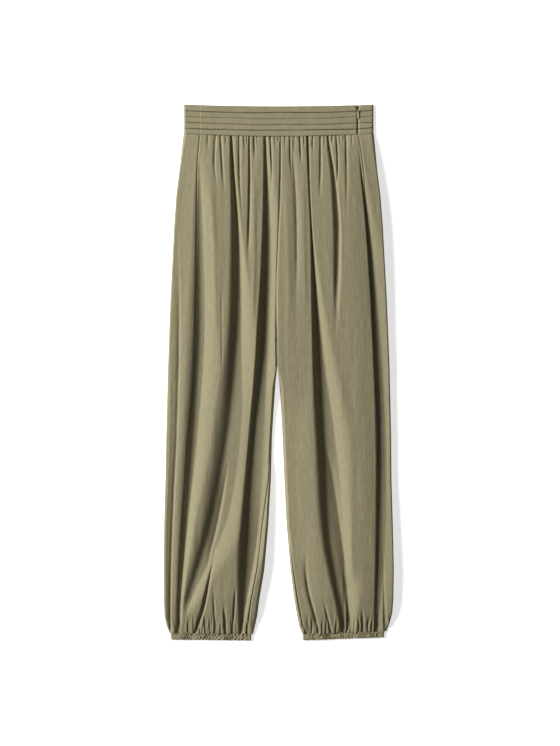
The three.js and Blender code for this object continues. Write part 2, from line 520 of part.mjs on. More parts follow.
function solid(geometry) {
  const plain = new THREE.BufferGeometry().setAttribute("position", geometry.getAttribute("position"));
  if (geometry.index) plain.setIndex(geometry.index);
  const welded = mergeVertices(plain, 1e-4);
  return new wasm.Manifold(new wasm.Mesh({
    numProp: 3,
    vertProperties: new Float32Array(welded.attributes.position.array),
    triVerts: new Uint32Array(welded.index.array),
  }));
}

function joined(...geometries) {
  const { vertProperties, triVerts } = geometries.map(solid).reduce((a, b) => a.add(b)).getMesh();
  const geometry = new THREE.BufferGeometry();
  geometry.setAttribute("position", new THREE.BufferAttribute(new Float32Array(vertProperties), 3));
  geometry.setIndex(Array.from(triVerts));
  return geometry;
}

const PIVOT = place(ZIP_X, SLIDER.drop, 2 * FOLD_RADIUS + TUCK_HEIGHT + TAB.clear + TAB.thickness / 2);

function sliderGeometry() {
  const { width, length, low, thick, neck, arch, hole } = SLIDER;
  const body = new THREE.BoxGeometry(width, length, thick).translate(0, 0, low + thick / 2 - PIVOT.z);
  const profile = new THREE.Shape();
  profile.moveTo(-arch, low + thick / 2 - PIVOT.z);
  profile.lineTo(arch, low + thick / 2 - PIVOT.z);
  profile.lineTo(arch, 0);
  profile.absarc(0, 0, arch, 0, Math.PI, false);
  profile.holes.push(new THREE.Path().absarc(0, 0, hole, 0, 2 * Math.PI, true));
  const bail = new THREE.ExtrudeGeometry(profile, { depth: neck, bevelEnabled: false, curveSegments: 10 });
  bail.translate(0, 0, -neck / 2).rotateX(Math.PI / 2).rotateZ(Math.PI / 2);
  return joined(body, bail).translate(PIVOT.x, PIVOT.y, PIVOT.z);
}

function tabGeometry() {
  const { length, width, thickness, bar, slot } = TAB;
  const opening = SLIDER.neck / 2 + SEAM_GAP;
  const plate = new THREE.Shape();
  plate.moveTo(-width / 2, bar);
  plate.lineTo(-width / 2, -length + width / 2);
  plate.absarc(0, -length + width / 2, width / 2, Math.PI, 2 * Math.PI, false);
  plate.lineTo(width / 2, bar);
  plate.lineTo(opening, bar);
  plate.lineTo(opening, -slot);
  plate.lineTo(-opening, -slot);
  plate.lineTo(-opening, bar);
  plate.closePath();
  const sheet = new THREE.ExtrudeGeometry(plate, { depth: thickness, bevelEnabled: false, curveSegments: 8 });
  sheet.translate(0, 0, -thickness / 2);
  const crossbar = new THREE.CylinderGeometry(bar * 0.9, bar * 0.9, width * 0.9, 12).rotateZ(Math.PI / 2);
  return joined(sheet, crossbar).translate(PIVOT.x, PIVOT.y, PIVOT.z);
}

const PALETTE = {
  band: { color: "#938c70", roughness: 0.82, metalness: 0 },
  leg: { color: "#958e72", roughness: 0.8, metalness: 0 },
  back: { color: "#8f886d", roughness: 0.8, metalness: 0 },
  slider: { color: "#a39b80", roughness: 0.45, metalness: 0.6 },
};

const group = new THREE.Group();
group.name = "trousers";

function add(name, geometry, look) {
  const mesh = new THREE.Mesh(geometry, new THREE.MeshStandardMaterial(PALETTE[look]));
  mesh.name = name;
  group.add(mesh);
}

add("waistband_front", wallGeometry(frontBandRows()), "band");
add("waistband_back", wallGeometry(backBandRows()), "band");
for (const leg of [RIGHT, LEFT]) {
  add(`${leg.name}_front`, wallGeometry(frontRows(leg)), "leg");
  add(`${leg.name}_back`, wallGeometry(LEVELS.map((level) => backRow(leg, level))), "back");
  add(`${leg.name}_cuff`, wallGeometry(cuffRows(leg), true), "band");
}
add("zip_slider", sliderGeometry(), "slider");
add("zip_pull_tab", tabGeometry(), "slider");

export default group;
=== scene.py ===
"""Baggy trousers laid flat, face up: a tucked waistband, two gathered legs and two elasticated cuffs.

Shapes are worked out in millimetres, with X across the garment and "drop" measured down from the top
of the waistband, then made as meshes in metres. "Right" and "left" are the wearer's own."""

from collections import namedtuple

import bpy
import numpy as np
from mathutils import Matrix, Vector


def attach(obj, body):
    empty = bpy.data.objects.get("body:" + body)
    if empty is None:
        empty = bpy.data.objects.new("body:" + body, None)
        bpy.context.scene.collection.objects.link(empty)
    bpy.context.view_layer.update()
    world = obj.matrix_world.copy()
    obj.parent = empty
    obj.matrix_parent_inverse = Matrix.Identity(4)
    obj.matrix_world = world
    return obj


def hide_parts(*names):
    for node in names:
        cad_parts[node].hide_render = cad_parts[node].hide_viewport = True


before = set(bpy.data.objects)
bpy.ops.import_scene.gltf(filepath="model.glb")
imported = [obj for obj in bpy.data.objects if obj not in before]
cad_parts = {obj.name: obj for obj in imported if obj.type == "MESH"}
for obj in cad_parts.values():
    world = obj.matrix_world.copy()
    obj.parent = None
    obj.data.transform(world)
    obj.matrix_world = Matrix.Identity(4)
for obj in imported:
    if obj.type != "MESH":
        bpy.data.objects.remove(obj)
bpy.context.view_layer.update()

MM = 0.001
LENGTH = 1000
CLOTH = 0.7  # thickness of the crinkled cloth as it is drawn
SEAM_GAP = 0.36
LAP = 2.5  # how far the waistband's back runs in under its front at their side seam
FOLD_RADIUS = 3
LEG_FOLD_RADIUS = 1.3
FLOOR = 2.8  # height of the bottom of the deepest troughs
FLOOR_SINKS = 8  # width over which a trough's floor goes on sinking beyond the fold on its left
CROTCH_DROP = 490
BAND_HALF_WIDTH = 177
BAND_SAG = 3.2
WAIST_SEAM_DROP = 60
WAIST_SEAM_RISE = 5
BAND_SEAM_X = -147
ZIP_X = 147.4
ZIP_OPENING = 1.3
ZIP_NOTCH_DEPTH = 11
ZIP_NOTCH_SPREAD = 3.2
EDGE_ANGLES = np.array([62, 38, 14, -10, -34, -60])  # degrees round an outer edge, from above to below
FRILL_AT_BAND = 1.5  # depth of the many small gathers
FRILL_AT_CUFF = 2.4
HEM_LEVEL = 880  # where the levels down a leg begin to tilt with its hem
LAST_LEVEL = 986

# The shape of a trough's sides, as powers, how troughs that meet add up, as a power too, and the most that
# a floor sinks, as a share of the trough's depth
LEFT_SIDE = 2.5
RIGHT_SIDE = 2
MERGING = 1.6
MOST_SUNK = 0.35

# Height of the puffed upper layer down the garment
RISE_DROPS = [58, 62, 68, 80, 105, 145, 210, 300, 850, 915, 948, 970, 990]
RISE_HEIGHTS = [6.0, 8.6, 11.0, 14.0, 17.6, 21.0, 23.4, 24.2, 24.2, 21.4, 17.2, 12.4, 6.8]
CENTRE_DROPS = [0, 132, 216, 328, 440, 494, LENGTH]
CENTRE_XS = [4.3, 4.1, 0.6, -4.1, -4.6, -2.7, -2.7]

Section = namedtuple("Section", "drop outer side inner inset")
RIGHT_SECTIONS = [
    Section(55, -177, -146.6, 0, 0),
    Section(85, -180.8, -148.8, 0, 0),
    Section(113, -184, -151, 0, 0),
    Section(169, -191.4, -152.3, 0, 0),
    Section(225, -195.5, -152.3, 0, 0),
    Section(365, -202.6, -153.6, 0, 0),
    Section(494, -207.3, -157.4, -3.2, 0),
    Section(533, -208.2, -159.2, -6.9, 0),
    Section(617, -210.3, -167.6, -12.5, 0),
    Section(701, -211.9, -173.7, -14.7, 3),
    Section(784, -214.2, -179.1, -19.4, 10),
    Section(868, -215, -184.4, -26.8, 12),
    Section(924, -215, -187.4, -36.2, 13.6),
    Section(952, -213.8, -187, -39.9, 13.6),
    Section(971, -209.8, -184, -44.2, 12),
    Section(990, -202.6, -178.4, -49, 10),
]
LEFT_SECTIONS = [
    Section(55, 177, 147.4, 0, 0),
    Section(85, 180, 152.9, 0, 0),
    Section(132, 184.8, 158.8, 0, 0),
    Section(169, 189.8, 160.9, 0, 0),
    Section(225, 194.4, 163.2, 0, 0),
    Section(365, 201.9, 173.8, 0, 0),
    Section(494, 207.2, 177.6, -2.1, 0),
    Section(533, 208, 180, 2.4, 0),
    Section(617, 209.9, 184.6, 6.7, 0),
    Section(701, 210.6, 182.2, 10.4, 0),
    Section(784, 213.1, 181.6, 14.5, 0),
    Section(868, 215, 183, 22, 3.2),
    Section(924, 214.2, 183.4, 29.1, 5.2),
    Section(952, 212.1, 185, 34.1, 5.5),
    Section(971, 206.9, 182, 37.8, 6),
    Section(990, 199.8, 176.6, 44.8, 7),
]

# A trough between folds runs from drop "start" to "end" through the places xs. Depth, left, floor and
# right are millimetres, fixed or changing along the run: how deep it is, how far the fold on its left
# turns down into it, how wide its floor is, and how far it rises to the right. Grow and fade are the
# shares of its run over which it sets in and dies out.
Trough = namedtuple("Trough", "start end xs depth left floor right grow fade")
CENTRE_CREASE = Trough(58, 420, [4.1, 2.2, -3, -4.6], 2.8, 4, 0, 3.5, 0, 0.4)
CROTCH_CREASE = Trough(330, 530, [-3.5, -3.7, -2.4], 17, 4.5, 0, 2.5, 0.6, 0.1)
RIGHT_TROUGHS = [
    # long troughs
    Trough(225, 985, [-186.8, -184.6, -188.8, -197.8, -202.3], [1, 4, 4, 4.5, 4],
           [12, 14, 12, 9], 0, 3.5, 0.3, 0),
    Trough(58, 990, [-149, -149.7, -152, -163, -177, -187.5], [1.5, 6, 10, 11, 9, 5],
           [8, 14, 21, 20, 15, 9], [0, 9, 14, 12, 5, 1], [5, 26, 32, 32, 14, 6], 0.15, 0),
    Trough(58, 960, [-88.6, -81, -82.8, -98, -130, -177], [6, 10.5, 11.5, 10.5, 9, 5],
           [4, 12, 18, 31, 25, 14], [1, 6, 12, 28, 32, 3], [4, 7, 32, 58, 48, 14], 0, 0.05),
    Trough(640, 900, [-92, -112, -140], 10, [14, 28, 14], 0, 8, 0.4, 0.4),
    Trough(784, 985, [-118, -119, -129, -139, -154], 8, 8, 0, 5, 0.6, 0),
    Trough(58, 990, [-25.5, -27, -35.6, -50.5, -63.5, -71], [4.5, 8, 13, 17, 12, 4.5],
           [4, 5.5, 8, 10, 17, 6], [0.5, 10, 14, 22, 24, 1], [5, 26, 34, 34, 20, 6], 0, 0),
    Trough(58, 330, [-54.5, -54, -55.5, -57], [5, 5, 4, 1], [4, 5, 8], 0, [3, 6, 8], 0, 0.4),
    Trough(330, 520, [-106, -105], 1, 5, 0, 5, 0.3, 0.3),
    CENTRE_CREASE,
    CROTCH_CREASE,
    # gathers at the waist seam
    Trough(58, 92, [-131.8, -132.3], 1.7, 4, 0, 4, 0, 0.6),
    Trough(58, 165, [-117.3, -119.3, -114.8], 2.9, 6, 0, 4, 0, 0.6),
    Trough(58, 175, [-108.3, -104.8, -100.8], 3.2, 5, 0, 5, 0, 0.6),
    Trough(58, 84, [-98.8, -98.8], 2.3, 3, 0, 3, 0, 0.5),
    Trough(58, 230, [-73.8, -72.3, -66.8], 3.2, 5, 0, 5, 0, 0.7),
    Trough(58, 92, [-64.8, -62.8], 2.9, 3, 0, 3, 0, 0.5),
    Trough(58, 82, [-59.3, -59.3], 2.3, 2.5, 0, 2.5, 0, 0.5),
    Trough(58, 112, [-45.8, -44.3], 3.2, 3, 0, 3, 0, 0.6),
    Trough(58, 80, [-39.8, -39.3], 2.1, 2.5, 0, 2.5, 0, 0.5),
    Trough(58, 195, [-15.3, -13.3, -16.3], 3.2, 4, 0, 5, 0, 0.5),
    Trough(58, 84, [-7.3, -6.8], 2.1, 3, 0, 3, 0, 0.5),
    Trough(58, 76, [-1.3, -1.3], 1.8, 2.5, 0, 2.5, 0, 0.6),
    # gathers at the cuff
    Trough(950, 990, [-187, -187], 2.5, 3.5, 0, 3.5, 0.5, 0),
    Trough(955, 990, [-169, -169.5], 3.0, 3.5, 0, 3.5, 0.5, 0),
    Trough(950, 990, [-148, -147.5], 3.0, 3.5, 0, 3.5, 0.5, 0),
    Trough(945, 990, [-138, -137], 3.2, 4, 0, 4, 0.4, 0),
    Trough(955, 990, [-128, -128], 2.8, 3.5, 0, 3.5, 0.5, 0),
    Trough(885, 990, [-122, -120, -118.5], 2.8, 5, 0, 5, 0.6, 0),
    Trough(955, 990, [-109, -108.5], 3.0, 3.5, 0, 3.5, 0.5, 0),
    Trough(925, 990, [-102, -100.5, -99], 4.2, 4.5, 0, 4.5, 0.5, 0),
    Trough(890, 990, [-80, -83, -87], 4.5, 4, 0, 4, 0.5, 0),
    Trough(958, 990, [-68, -67.5], 2.8, 3, 0, 3, 0.5, 0),
    Trough(955, 990, [-59.5, -59.5], 2.5, 3, 0, 3, 0.5, 0),
]
LEFT_TROUGHS = [
    # long troughs
    Trough(58, 990, [147.4, 164.5, 175.5, 182.5, 182.5, 178.5], [0.5, 5, 6, 6, 4.5, 3],
           [3, 3.5, 4], [0, 4, 12, 16, 16, 6], [5, 20, 40, 40, 40, 14], 0.1, 0),
    Trough(610, 985, [191, 192, 192.5, 195, 197], [1, 1.5, 4], 4, 0, 9, 0.2, 0),
    Trough(58, 990, [53.3, 60.8, 65.5, 78.5, 89, 119.5], [6, 6, 11, 12.5, 10, 6],
           [3.5, 3.2, 5, 16, 15, 7], [1, 1, 11, 26, 32, 3], [4, 3, 20, 30, 16, 6], 0, 0),
    Trough(600, 960, [80, 99, 113, 125, 131], 18, [14, 26, 34, 28, 18], 0, 15, 0.35, 0.35),
    Trough(850, 990, [116, 122.5, 125, 127, 128], 10, 8, 4, [34, 14], 0.4, 0),
    Trough(822, 985, [49, 49.5, 54, 64.5, 74], 4.2, [10, 7], 1, [8, 4], 0.5, 0),
    Trough(58, 460, [92, 101, 106, 106, 105, 104], [4.5, 5, 6, 5, 3, 1.5],
           [5, 9, 7, 6], [0, 5, 5, 1], [4, 7], 0, 0.4),
    Trough(58, 400, [24, 31, 33, 31], 2.8, 11, 1, 9, 0.2, 0.4),
    CENTRE_CREASE,
    CROTCH_CREASE,
    # gathers at the waist seam
    Trough(58, 88, [12.2, 12.2], 1.8, 3, 0, 3, 0, 0.5),
    Trough(58, 150, [21.2, 21.7, 24.7], 3.2, 4, 0, 4, 0, 0.6),
    Trough(58, 100, [28.7, 29.2], 2.3, 3, 0, 3, 0, 0.5),
    Trough(58, 118, [39.2, 41.7], 3.8, 3.5, 0, 4, 0, 0.6),
    Trough(58, 84, [47.2, 47.7], 1.8, 2.5, 0, 2.5, 0, 0.5),
    Trough(58, 92, [63.7, 63.7], 3.2, 3, 0, 3, 0, 0.5),
    Trough(58, 185, [77.7, 77.7, 76.2], 3.2, 5, 0, 5, 0, 0.5),
    Trough(58, 88, [85.2, 85.2], 2.3, 2.5, 0, 2.5, 0, 0.5),
    Trough(58, 80, [99.7, 99.7], 2.3, 2.5, 0, 2.5, 0, 0.5),
    Trough(58, 170, [107.7, 109.7, 108.2], 3.5, 4, 0, 4, 0, 0.4),
    Trough(58, 82, [113.7, 114.2], 2.3, 2.5, 0, 2.5, 0, 0.5),
    Trough(58, 240, [125.2, 126.2, 125.2], 2.9, 5, 0, 6, 0, 0.85),
    Trough(58, 86, [136.2, 136.7], 1.7, 3, 0, 3, 0, 0.5),
    # gathers at the cuff
    Trough(955, 990, [61.5, 61.5], 3.0, 3.5, 0, 3.5, 0.5, 0),
    Trough(958, 990, [81, 81], 3.0, 3, 0, 3, 0.5, 0),
    Trough(955, 990, [88.5, 88.5], 3.0, 3, 0, 3, 0.5, 0),
    Trough(915, 990, [83, 90, 97.5], 4.0, 5, 0, 5, 0.6, 0),
    Trough(958, 990, [107, 107], 3.0, 3.5, 0, 3.5, 0.5, 0),
    Trough(945, 990, [140.5, 140.5], 3.2, 4, 0, 4, 0.5, 0),
    Trough(958, 990, [149, 149], 3.0, 3.5, 0, 3.5, 0.5, 0),
    Trough(938, 990, [155, 156.5], 4.5, 4, 0, 5, 0.5, 0),
    Trough(955, 990, [166, 166], 3.0, 3.5, 0, 3.5, 0.5, 0),
    Trough(955, 990, [174, 174], 3.0, 3.5, 0, 3.5, 0.5, 0),
]

# A crest is a soft line along a fold's back: height in millimetres above the cloth beside it
Crest = namedtuple("Crest", "start end xs height left right")
RIGHT_CRESTS = [
    Crest(110, 470, [-127, -122, -119, -117], 1.4, 9, 9),
    Crest(430, 985, [-200, -202, -209, -210], 0.8, 3, 3),
    Crest(120, 420, [-46, -45, -48], 1.0, 7, 6),
]
LEFT_CRESTS = [
    Crest(110, 400, [44, 47, 50], 0.8, 8, 6),
    Crest(120, 460, [14, 17, 18], 0.8, 8, 8),
    Crest(480, 800, [112, 118, 126], 1.2, 14, 12),
]

Leg = namedtuple("Leg", "name out sections troughs crests hem seed")
Hem = namedtuple("Hem", "outer inner outer_top inner_top outer_end inner_end")
RIGHT_HEM = Hem(-201.7, -50.7, 987, 988.5, 998.5, LENGTH)
LEFT_HEM = Hem(197.5, 44.5, 983, 988.5, 994.2, LENGTH)
RIGHT = Leg("right", -1, RIGHT_SECTIONS, RIGHT_TROUGHS, RIGHT_CRESTS, RIGHT_HEM, 11)
LEFT = Leg("left", 1, LEFT_SECTIONS, LEFT_TROUGHS, LEFT_CRESTS, LEFT_HEM, 23)


def mix(a, b, share):
    return a + (b - a) * share


def smooth(share):
    share = np.clip(share, 0, 1)
    return share * share * (3 - 2 * share)


def along(sections, key, drop):
    """A column of a leg's sections at a drop."""
    return np.interp(drop, [s.drop for s in sections], [getattr(s, key) for s in sections])


def curve_through(values, share):
    """A smooth curve through evenly spaced values."""
    values = np.asarray(values, float)
    last = len(values) - 1
    at = np.clip(share, 0, 1) * last
    i = np.minimum(last - 1, np.floor(at).astype(int))
    t = at - i
    before, here, there, after = (values[np.clip(i + k, 0, last)] for k in (-1, 0, 1, 2))
    a, b = (there - before) / 2, (after - here) / 2
    t2, t3 = t * t, t * t * t
    return (2 * t3 - 3 * t2 + 1) * here + (t3 - 2 * t2 + t) * a + (3 * t2 - 2 * t3) * there + (t3 - t2) * b


def cloth_noise(u, v, seed):
    """Smooth random values between -1 and 1 over a grid of unit cells."""
    lattice = np.random.RandomState(seed).uniform(-1, 1, (97, 89))
    i, j = np.floor(u).astype(int), np.floor(v).astype(int)
    s, t = smooth(u - i), smooth(v - j)
    corner = lambda a, b: lattice[(i + a) % 97, (j + b) % 89]
    return mix(mix(corner(0, 0), corner(1, 0), s), mix(corner(0, 1), corner(1, 1), s), t)


def reach_along(reach, share):
    """One of a trough's sizes, fixed or changing along its run."""
    return np.maximum(0, curve_through(reach, share)) if isinstance(reach, list) else reach


def trough_depth(trough, x, drop):
    """How deep a trough is at points, in millimetres."""
    share = (drop - trough.start) / (trough.end - trough.start)
    away = x - curve_through(trough.xs, share)
    left, floor_width, right = (reach_along(r, share) for r in (trough.left, trough.floor, trough.right))
    beyond = np.where(away < 0, -away / left, np.maximum(0, away - floor_width) / right)
    sinking = np.minimum(FLOOR_SINKS, floor_width)
    into_floor = 1 - np.clip(away / (sinking + 0.01), 0, 1)
    sunk = np.minimum(MOST_SUNK, LEFT_SIDE / 2 * sinking / left) * (1 - into_floor ** 2)
    strength = np.where((share >= 0) & (share <= 1), reach_along(trough.depth, share), 0.0)
    if trough.grow:
        strength = strength * smooth(share / trough.grow)
    if trough.fade:
        strength = strength * smooth((1 - share) / trough.fade)
    return strength * (1 + sunk) * np.clip(1 - beyond, 0, 1) ** np.where(away < 0, LEFT_SIDE, RIGHT_SIDE)


def crest_height(crest, x, drop):
    """How far a crest stands up at points, in millimetres."""
    share = (drop - crest.start) / (crest.end - crest.start)
    away = x - curve_through(crest.xs, share)
    reach = np.where(away < 0, crest.left, crest.right)
    return crest.height * np.exp(-((away / reach * 1.6) ** 2)) * smooth(share * 4) * smooth((1 - share) * 4)


def inner_edge(leg, drop):
    """The leg's inner edge: the centre seam down to the crotch, then its own edge."""
    centre = np.interp(drop, CENTRE_DROPS, CENTRE_XS)
    return np.where(drop <= CROTCH_DROP, centre, along(leg.sections, "inner", drop))


def edge_radius(drop):
    """The cloth turns under more tightly down the legs than at the waistband."""
    return mix(FOLD_RADIUS, LEG_FOLD_RADIUS, smooth((drop - 60) / 80))


def frill(leg, x, drop):
    """How deep the many small gathers are, right below the waistband and above the cuff."""
    at_band = FRILL_AT_BAND * smooth((96 - drop) / 34) * smooth((136 - np.abs(x)) / 10)
    at_cuff = FRILL_AT_CUFF * smooth((drop - 936) / 40)
    teeth = cloth_noise(x / 2.5 + 1.3 * cloth_noise(x / 12, drop / 15, leg.seed + 3), drop / 26, leg.seed + 2)
    return (at_band + at_cuff) * (0.5 + 0.5 * teeth) ** 1.5


def upper_height(leg, x, drop):
    """Height of a leg's upper layer: its puff, steep at the edges, less its troughs and small gathers,
    and with its crests and crinkles."""
    rise = np.interp(drop, RISE_DROPS, RISE_HEIGHTS)
    radius = edge_radius(drop)
    edge = 2 * radius
    outer_in = (along(leg.sections, "outer", drop) - x) * leg.out - radius
    inner_in = (x - inner_edge(leg, drop)) * leg.out - radius
    parted = smooth((drop - CROTCH_DROP) / 110)
    outer_rise = 0.04 + 0.72 * smooth(outer_in / 1.1) + 0.24 * smooth((outer_in - 2) / 60)
    inner_rise = 0.06 + 0.66 * smooth(inner_in / 2.2) + 0.28 * smooth((inner_in - 2) / 60)
    puff = outer_rise * mix(1, inner_rise, parted)
    crown = edge + np.maximum(0, rise - edge) * puff
    room = np.maximum(0.3, crown - FLOOR)
    taken = sum(trough_depth(t, x, drop) ** MERGING for t in leg.troughs) ** (1 / MERGING) / room
    taken = taken / (1 + taken ** 4) ** 0.25
    crests = sum(crest_height(c, x, drop) for c in leg.crests)
    # the crinkles run along the outer edge
    across = (along(leg.sections, "outer", drop) - x) * leg.out * 0.8
    crinkle = 0.24 * cloth_noise(across / 6.5, drop / 90, leg.seed)
    crinkle = crinkle + 0.12 * cloth_noise(across / 3.1, drop / 24, leg.seed + 1)
    calm = np.clip((crown - edge) / 6, 0.15, 1) * (1 - 0.7 * taken)
    return crown - room * taken + (crests + crinkle) * calm - frill(leg, x, drop)


def carried_drop(leg, level, x):
    """The drop of a level at x, with the waist seam's curve and the hem's tilt in the levels near them."""
    climb = -WAIST_SEAM_RISE * (x / BAND_HALF_WIDTH) ** 2 * np.clip((200 - level) / 140, 0, 1)
    hem = leg.hem
    hem_top = mix(hem.outer_top, hem.inner_top, np.clip((x - hem.outer) / (hem.inner - hem.outer), 0, 1))
    tilt = (hem_top - SEAM_GAP - LAST_LEVEL) * np.clip((level - HEM_LEVEL) / (LAST_LEVEL - HEM_LEVEL), 0, 1)
    return level + climb + tilt


def grid_faces(rows, columns, ring=False):
    wide = columns if ring else columns - 1
    r, c = np.meshgrid(np.arange(rows - 1), np.arange(wide), indexing="ij")
    a, b = r * columns + c, r * columns + (c + 1) % columns
    return np.stack([a, a + columns, b + columns, b], -1).reshape(-1, 4)


GRAIN_ROWS = 41  # rows over which the cloth's lengthwise grain is evened out, so that it runs straight


def cloth_piece(name, x, drop, z, node, flip=False, ring=False, seam=0):
    """A smooth piece of cloth from a grid of points, with its own width, measured from the column at
    its seam, and its length as its UV map."""
    rows, columns = x.shape
    points = np.stack([x, LENGTH / 2 - drop, z], -1).reshape(-1, 3) * MM
    faces = grid_faces(rows, columns, ring)
    if flip:
        faces = faces[:, ::-1]
    mesh = bpy.data.meshes.new(name)
    mesh.from_pydata(points.tolist(), [], faces.tolist())
    uv = mesh.uv_layers.new(name="cloth")
    run = np.zeros_like(x)
    run[:, 1:] = np.cumsum(np.hypot(np.diff(x, axis=1), np.diff(z, axis=1)), axis=1)
    run -= run[:, [seam]]
    if rows > GRAIN_ROWS:
        padded = np.pad(run, ((GRAIN_ROWS // 2, GRAIN_ROWS // 2), (0, 0)), mode="edge")
        sums = np.cumsum(np.pad(padded, ((1, 0), (0, 0))), axis=0)
        run = (sums[GRAIN_ROWS:] - sums[:-GRAIN_ROWS]) / GRAIN_ROWS
    else:
        run = np.repeat(run.mean(axis=0, keepdims=True), rows, 0)
    flat = np.stack([run * MM, -drop * MM], -1).reshape(-1, 2)
    corners = np.empty(len(mesh.loops), int)
    mesh.loops.foreach_get("vertex_index", corners)
    uv.data.foreach_set("uv", flat[corners].ravel())
    mesh.polygons.foreach_set("use_smooth", np.ones(len(mesh.polygons), bool))
    piece = bpy.data.objects.new(name, mesh)
    bpy.context.collection.objects.link(piece)
    wall = piece.modifiers.new("wall", "SOLIDIFY")
    wall.thickness = CLOTH * MM
    wall.offset = -1
    wall.use_even_offset = False
    if node:
        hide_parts(node)
    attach(piece, "trousers")
    return piece


FRONT_COLUMNS = 156
INSEAM_SHARES = 44  # the inseam takes one of so many parts of a front panel's width
CENTRE_BACK_MARGIN = 14  # width of the under columns that turn up below the crotch
SIDE_STRIP_COLUMNS = 30
UNDER_COLUMNS = 44
TURN_COLUMNS = 7
LAP_COLUMNS = 8
LEVELS = np.concatenate([
    np.arange(59.6, 120, 1.6),
    np.arange(120, HEM_LEVEL, 4),
    np.arange(HEM_LEVEL, 984, 1.6),
    [984.4, LAST_LEVEL],
])


def edge_roll(distance, depth=0.9, reach=2.2):
    """How far a piece's edge turns down into its seam."""
    return depth * np.clip(1 - distance / reach, 0, 1) ** 2


def turned_point(edge, out, degrees, radius=FOLD_RADIUS):
    """A point on the round turn of the cloth at an edge, as its place across and its height."""
    angle = np.radians(degrees)
    return edge - out * radius + out * radius * np.cos(angle), radius + radius * np.sin(angle)


def front_panel(leg):
    """A leg's gathered front, from the centre or inner edge to the side seam."""
    side = along(leg.sections, "side", LEVELS) - leg.out * SEAM_GAP / 2
    edge = inner_edge(leg, LEVELS)
    inset = along(leg.sections, "inset", LEVELS)
    below = smooth((LEVELS - CROTCH_DROP) / 45)
    come_in = np.where(LEVELS > CROTCH_DROP, inset, 0)
    inner = edge + leg.out * (below * LEG_FOLD_RADIUS + come_in + SEAM_GAP / 2)
    share = np.linspace(0, 1, FRONT_COLUMNS)
    x = inner[:, None] + (side - inner)[:, None] * share
    level = np.repeat(LEVELS[:, None], FRONT_COLUMNS, 1)
    seam = np.where(inset > 0.5, 2.4, 0.9)[:, None]
    z = upper_height(leg, x, level) - edge_roll(np.abs(x - side[:, None]))
    z = z - edge_roll(np.abs(x - inner[:, None]), seam, 3)
    # the inseam lies round the inner edge until it comes out on top
    wraps = (below * (1 - smooth(inset / 3)))[:, None]
    from_edge = 1 - np.clip(share * INSEAM_SHARES, 0, 1)
    turn_x, turn_z = turned_point(edge[:, None], -leg.out, 90 - 70 * from_edge, LEG_FOLD_RADIUS)
    near = wraps * np.clip(1 - share * INSEAM_SHARES, 0, 1)
    x, z = mix(x, turn_x, near), mix(z, np.minimum(z, turn_z), smooth(near * 1.2))
    return cloth_piece(f"{leg.name}_front_cloth", x, carried_drop(leg, level, x), z,
                       f"{leg.name}_front", flip=leg.out < 0, seam=-1)


def back_panel(leg):
    """A leg's back: from the side seam round the outer edge, underneath, and up round the inner edge."""
    side = (along(leg.sections, "side", LEVELS) + leg.out * SEAM_GAP / 2)[:, None]
    outer = along(leg.sections, "outer", LEVELS)[:, None]
    inner = inner_edge(leg, LEVELS)[:, None]
    inset = np.where(LEVELS > CROTCH_DROP, along(leg.sections, "inset", LEVELS), 0)[:, None]
    level = LEVELS[:, None]
    radius = edge_radius(level)
    outer_top = outer - leg.out * radius
    strip_x = mix(side, outer_top, np.linspace(0, 1, SIDE_STRIP_COLUMNS))
    strip_z = upper_height(leg, strip_x, level) - edge_roll(np.abs(strip_x - side))
    turn_x, turn_z = turned_point(outer, leg.out, EDGE_ANGLES, radius)
    below = smooth((level - CROTCH_DROP) / 45)
    under_end = inner + leg.out * mix(CENTRE_BACK_MARGIN, radius, below)
    under_x = mix(outer_top, under_end, np.linspace(0, 1, UNDER_COLUMNS))
    creases = np.clip(cloth_noise(under_x / 14, level / 160 + under_x / 90, leg.seed + 5), 0, 1) ** 2
    within = np.clip(np.minimum(np.abs(under_x - outer_top), np.abs(under_x - under_end)) / 15, 0, 1)
    under_z = 1.2 * creases * within
    # the columns after the under layer turn up round the inner edge below the crotch, and lie flat above it
    arc = np.linspace(-90, 90, TURN_COLUMNS + 1)[1:]
    last = np.where(inset > 0.5, 90, 15)
    back_x, back_z = turned_point(inner, -leg.out, mix(-90, last, (arc + 90) / 180), radius)
    seam_end = inner + leg.out * SEAM_GAP / 2
    margin = np.linspace(0, 1, TURN_COLUMNS + LAP_COLUMNS + 1)[1:]
    flat_end = mix(under_end, seam_end, margin[None, :])
    back_x, back_z = mix(flat_end[:, :TURN_COLUMNS], back_x, below), mix(0, back_z, below)
    lap_end = inner + leg.out * (radius + inset - SEAM_GAP / 2)
    lap_share = np.linspace(0, 1, LAP_COLUMNS + 1)[1:]
    lapped = smooth((inset - 0.3) / 0.4)
    lap_x = mix(back_x[:, -1:], lap_end, lap_share * lapped)
    lap_top = upper_height(leg, lap_x, level) - edge_roll(np.abs(lap_x - lap_end))
    lap_z = mix(back_z[:, -1:], lap_top, lapped)
    lap_x = np.where(below < 1, mix(flat_end[:, TURN_COLUMNS:], lap_x, below), lap_x)
    x = np.concatenate([strip_x, turn_x, under_x, back_x, lap_x], 1)
    z = np.concatenate([strip_z, turn_z * np.ones_like(turn_x), under_z, back_z, lap_z], 1)
    level = np.repeat(level, x.shape[1], 1)
    return cloth_piece(f"{leg.name}_back_cloth", x, carried_drop(leg, level, x), z,
                       f"{leg.name}_back", flip=leg.out < 0)


# The waistband's tucks: each one's lower edge, as a share of the band's height, and how far it stands out
Tuck = namedtuple("Tuck", "line height")
TUCKS = [Tuck(0.22, 1.9), Tuck(0.41, 0.6), Tuck(0.617, 1.3), Tuck(0.805, 2.0), Tuck(1.0, 1.6)]
# Shares down one tuck, and how much of its height the cloth has reached there
TUCK_PROFILE = [(0.1, 0.05), (0.3, 0.3), (0.6, 0.7), (0.85, 1.0), (0.95, 0.98), (0.985, 0.75), (1.0, 0.2)]


